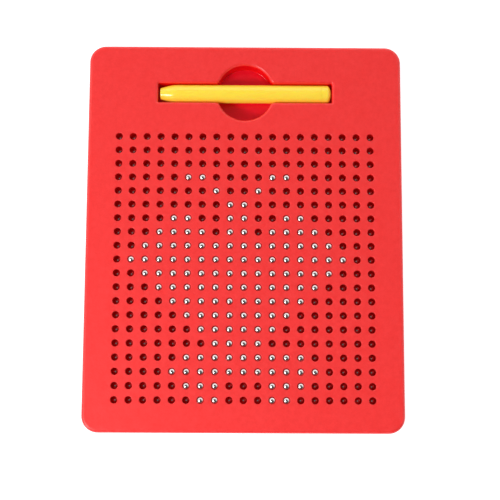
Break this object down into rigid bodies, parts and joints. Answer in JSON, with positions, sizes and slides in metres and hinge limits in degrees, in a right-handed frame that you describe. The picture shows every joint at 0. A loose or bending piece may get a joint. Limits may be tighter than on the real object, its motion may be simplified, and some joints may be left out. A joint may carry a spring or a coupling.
{
  "type": "magnetic bead drawing board",
  "caption": "Flat rounded-corner board with a grid of round holes over loose steel beads, and a round magnetic stylus lying in a slot with a round thumb recess.",
  "frame": {"origin": "centre of the flat back, on the surface the board lies on", "axes": "+Z out of the face, +Y along the board towards the stylus slot, +X to the right when the face is read with the stylus at the top"},
  "size_m": [0.1606, 0.1976, 0.0137],
  "materials": {
    "red_plastic": "satin, fine moulded grain",
    "tray_plastic": "satin",
    "sheet_rubber": "matt",
    "yellow_plastic": "gloss",
    "bead_steel": "polished",
    "magnet": "plated",
    "screw_steel": "zinc plated"
  },
  "bodies": {
    "board": {"front_shell": "red_plastic", "back_cover": "red_plastic", "bead_tray": "tray_plastic", "retaining_sheet": "sheet_rubber", "screw_1": "screw_steel", "screw_2": "screw_steel", "screw_3": "screw_steel", "screw_4": "screw_steel", "screw_5": "screw_steel", "screw_6": "screw_steel"},
    "stylus": {"stylus_barrel": "yellow_plastic", "stylus_cap": "yellow_plastic", "stylus_magnet": "magnet"},
    "row_01_lowered": {"bead_row_01_lowered": "bead_steel"},
    "row_02_lowered": {"bead_row_02_lowered": "bead_steel"},
    "row_03_lowered": {"bead_row_03_lowered": "bead_steel"},
    "row_04_raised": {"bead_row_04_raised": "bead_steel"},
    "row_04_lowered": {"bead_row_04_lowered": "bead_steel"},
    "row_05_raised": {"bead_row_05_raised": "bead_steel"},
    "row_05_lowered": {"bead_row_05_lowered": "bead_steel"},
    "row_06_raised": {"bead_row_06_raised": "bead_steel"},
    "row_06_lowered": {"bead_row_06_lowered": "bead_steel"},
    "row_07_raised": {"bead_row_07_raised": "bead_steel"},
    "row_07_lowered": {"bead_row_07_lowered": "bead_steel"},
    "row_08_raised": {"bead_row_08_raised": "bead_steel"},
    "row_08_lowered": {"bead_row_08_lowered": "bead_steel"},
    "row_09_raised": {"bead_row_09_raised": "bead_steel"},
    "row_09_lowered": {"bead_row_09_lowered": "bead_steel"},
    "row_10_raised": {"bead_row_10_raised": "bead_steel"},
    "row_10_lowered": {"bead_row_10_lowered": "bead_steel"},
    "row_11_raised": {"bead_row_11_raised": "bead_steel"},
    "row_11_lowered": {"bead_row_11_lowered": "bead_steel"},
    "row_12_raised": {"bead_row_12_raised": "bead_steel"},
    "row_12_lowered": {"bead_row_12_lowered": "bead_steel"},
    "row_13_raised": {"bead_row_13_raised": "bead_steel"},
    "row_13_lowered": {"bead_row_13_lowered": "bead_steel"},
    "row_14_raised": {"bead_row_14_raised": "bead_steel"},
    "row_14_lowered": {"bead_row_14_lowered": "bead_steel"},
    "row_15_raised": {"bead_row_15_raised": "bead_steel"},
    "row_15_lowered": {"bead_row_15_lowered": "bead_steel"},
    "row_16_raised": {"bead_row_16_raised": "bead_steel"},
    "row_16_lowered": {"bead_row_16_lowered": "bead_steel"},
    "row_17_raised": {"bead_row_17_raised": "bead_steel"},
    "row_17_lowered": {"bead_row_17_lowered": "bead_steel"},
    "row_18_raised": {"bead_row_18_raised": "bead_steel"},
    "row_18_lowered": {"bead_row_18_lowered": "bead_steel"},
    "row_19_raised": {"bead_row_19_raised": "bead_steel"},
    "row_19_lowered": {"bead_row_19_lowered": "bead_steel"},
    "row_20_raised": {"bead_row_20_raised": "bead_steel"},
    "row_20_lowered": {"bead_row_20_lowered": "bead_steel"}
  },
  "joints": [
    {"name": "lift_stylus", "type": "slide", "parent": "board", "child": "stylus", "axis": [0, 0, 1], "range_m": [0, 0.03]},
    {"name": "slide_row_01_lowered", "type": "slide", "parent": "board", "child": "row_01_lowered", "axis": [0, 0, 1], "range_m": [0, 0.0042]},
    {"name": "slide_row_02_lowered", "type": "slide", "parent": "board", "child": "row_02_lowered", "axis": [0, 0, 1], "range_m": [0, 0.0042]},
    {"name": "slide_row_03_lowered", "type": "slide", "parent": "board", "child": "row_03_lowered", "axis": [0, 0, 1], "range_m": [0, 0.0042]},
    {"name": "slide_row_04_raised", "type": "slide", "parent": "board", "child": "row_04_raised", "axis": [0, 0, 1], "range_m": [-0.0042, 0]},
    {"name": "slide_row_04_lowered", "type": "slide", "parent": "board", "child": "row_04_lowered", "axis": [0, 0, 1], "range_m": [0, 0.0042]},
    {"name": "slide_row_05_raised", "type": "slide", "parent": "board", "child": "row_05_raised", "axis": [0, 0, 1], "range_m": [-0.0042, 0]},
    {"name": "slide_row_05_lowered", "type": "slide", "parent": "board", "child": "row_05_lowered", "axis": [0, 0, 1], "range_m": [0, 0.0042]},
    {"name": "slide_row_06_raised", "type": "slide", "parent": "board", "child": "row_06_raised", "axis": [0, 0, 1], "range_m": [-0.0042, 0]},
    {"name": "slide_row_06_lowered", "type": "slide", "parent": "board", "child": "row_06_lowered", "axis": [0, 0, 1], "range_m": [0, 0.0042]},
    {"name": "slide_row_07_raised", "type": "slide", "parent": "board", "child": "row_07_raised", "axis": [0, 0, 1], "range_m": [-0.0042, 0]},
    {"name": "slide_row_07_lowered", "type": "slide", "parent": "board", "child": "row_07_lowered", "axis": [0, 0, 1], "range_m": [0, 0.0042]},
    {"name": "slide_row_08_raised", "type": "slide", "parent": "board", "child": "row_08_raised", "axis": [0, 0, 1], "range_m": [-0.0042, 0]},
    {"name": "slide_row_08_lowered", "type": "slide", "parent": "board", "child": "row_08_lowered", "axis": [0, 0, 1], "range_m": [0, 0.0042]},
    {"name": "slide_row_09_raised", "type": "slide", "parent": "board", "child": "row_09_raised", "axis": [0, 0, 1], "range_m": [-0.0042, 0]},
    {"name": "slide_row_09_lowered", "type": "slide", "parent": "board", "child": "row_09_lowered", "axis": [0, 0, 1], "range_m": [0, 0.0042]},
    {"name": "slide_row_10_raised", "type": "slide", "parent": "board", "child": "row_10_raised", "axis": [0, 0, 1], "range_m": [-0.0042, 0]},
    {"name": "slide_row_10_lowered", "type": "slide", "parent": "board", "child": "row_10_lowered", "axis": [0, 0, 1], "range_m": [0, 0.0042]},
    {"name": "slide_row_11_raised", "type": "slide", "parent": "board", "child": "row_11_raised", "axis": [0, 0, 1], "range_m": [-0.0042, 0]},
    {"name": "slide_row_11_lowered", "type": "slide", "parent": "board", "child": "row_11_lowered", "axis": [0, 0, 1], "range_m": [0, 0.0042]},
    {"name": "slide_row_12_raised", "type": "slide", "parent": "board", "child": "row_12_raised", "axis": [0, 0, 1], "range_m": [-0.0042, 0]},
    {"name": "slide_row_12_lowered", "type": "slide", "parent": "board", "child": "row_12_lowered", "axis": [0, 0, 1], "range_m": [0, 0.0042]},
    {"name": "slide_row_13_raised", "type": "slide", "parent": "board", "child": "row_13_raised", "axis": [0, 0, 1], "range_m": [-0.0042, 0]},
    {"name": "slide_row_13_lowered", "type": "slide", "parent": "board", "child": "row_13_lowered", "axis": [0, 0, 1], "range_m": [0, 0.0042]},
    {"name": "slide_row_14_raised", "type": "slide", "parent": "board", "child": "row_14_raised", "axis": [0, 0, 1], "range_m": [-0.0042, 0]},
    {"name": "slide_row_14_lowered", "type": "slide", "parent": "board", "child": "row_14_lowered", "axis": [0, 0, 1], "range_m": [0, 0.0042]},
    {"name": "slide_row_15_raised", "type": "slide", "parent": "board", "child": "row_15_raised", "axis": [0, 0, 1], "range_m": [-0.0042, 0]},
    {"name": "slide_row_15_lowered", "type": "slide", "parent": "board", "child": "row_15_lowered", "axis": [0, 0, 1], "range_m": [0, 0.0042]},
    {"name": "slide_row_16_raised", "type": "slide", "parent": "board", "child": "row_16_raised", "axis": [0, 0, 1], "range_m": [-0.0042, 0]},
    {"name": "slide_row_16_lowered", "type": "slide", "parent": "board", "child": "row_16_lowered", "axis": [0, 0, 1], "range_m": [0, 0.0042]},
    {"name": "slide_row_17_raised", "type": "slide", "parent": "board", "child": "row_17_raised", "axis": [0, 0, 1], "range_m": [-0.0042, 0]},
    {"name": "slide_row_17_lowered", "type": "slide", "parent": "board", "child": "row_17_lowered", "axis": [0, 0, 1], "range_m": [0, 0.0042]},
    {"name": "slide_row_18_raised", "type": "slide", "parent": "board", "child": "row_18_raised", "axis": [0, 0, 1], "range_m": [-0.0042, 0]},
    {"name": "slide_row_18_lowered", "type": "slide", "parent": "board", "child": "row_18_lowered", "axis": [0, 0, 1], "range_m": [0, 0.0042]},
    {"name": "slide_row_19_raised", "type": "slide", "parent": "board", "child": "row_19_raised", "axis": [0, 0, 1], "range_m": [-0.0042, 0]},
    {"name": "slide_row_19_lowered", "type": "slide", "parent": "board", "child": "row_19_lowered", "axis": [0, 0, 1], "range_m": [0, 0.0042]},
    {"name": "slide_row_20_raised", "type": "slide", "parent": "board", "child": "row_20_raised", "axis": [0, 0, 1], "range_m": [-0.0042, 0]},
    {"name": "slide_row_20_lowered", "type": "slide", "parent": "board", "child": "row_20_lowered", "axis": [0, 0, 1], "range_m": [0, 0.0042]}
  ]
}
